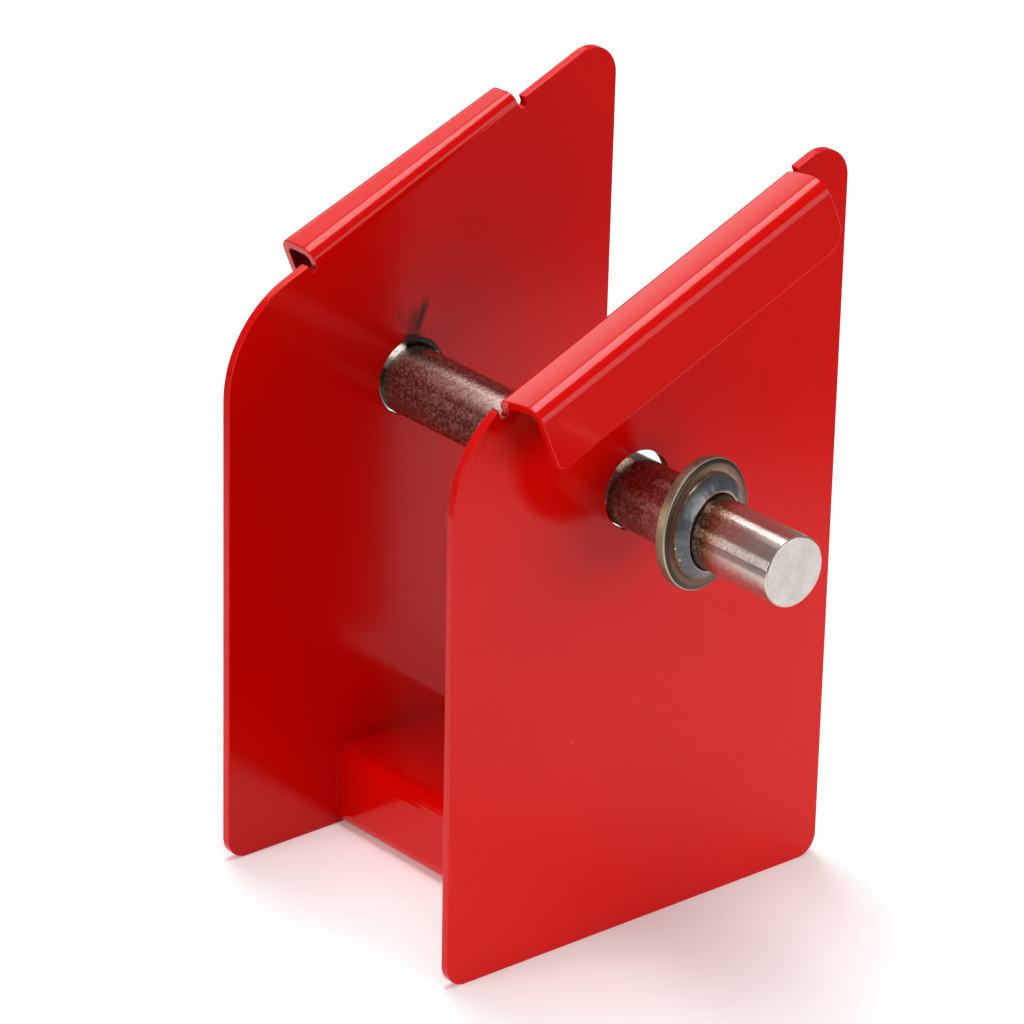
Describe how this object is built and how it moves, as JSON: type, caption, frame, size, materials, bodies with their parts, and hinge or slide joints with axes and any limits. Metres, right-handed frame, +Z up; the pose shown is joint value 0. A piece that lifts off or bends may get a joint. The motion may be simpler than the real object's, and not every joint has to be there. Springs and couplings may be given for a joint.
{
  "type": "wheel clamp",
  "caption": "Wheel clamp: two upright steel cheeks joined at the foot, with a loose locking bolt that slides through both and a welded stop collar.",
  "frame": {"origin": "on the ground under the foot tube, midway between the two cheeks and straight below the axis of their bolt holes", "axes": "+X along the bolt towards its collar end, +Y from the front edges of the cheeks to their back edges, +Z up"},
  "size_m": [0.218, 0.171, 0.2673],
  "materials": {
    "painted_sheet": "gloss red powder coat over sheet steel",
    "painted_weld": "gloss red powder coat over a weld bead",
    "plated_bar": "bright plated round bar with a fine drawn grain",
    "heat_tinted_washer": "steel washer tinted bronze by the heat of the weld",
    "raw_weld": "unpainted blue-grey weld metal"
  },
  "bodies": {
    "frame": {"right_cheek": "painted_sheet", "left_cheek": "painted_sheet", "foot_tube": "painted_sheet", "right_tube_weld": "painted_weld", "left_tube_weld": "painted_weld"},
    "bolt": {"bolt_bar": "plated_bar", "collar_washer": "heat_tinted_washer", "collar_weld": "raw_weld"}
  },
  "joints": [
    {"name": "bolt_slide", "type": "slide", "parent": "frame", "child": "bolt", "axis": [1, 0, 0], "range_m": [-0.0265, 0.13]}
  ]
}
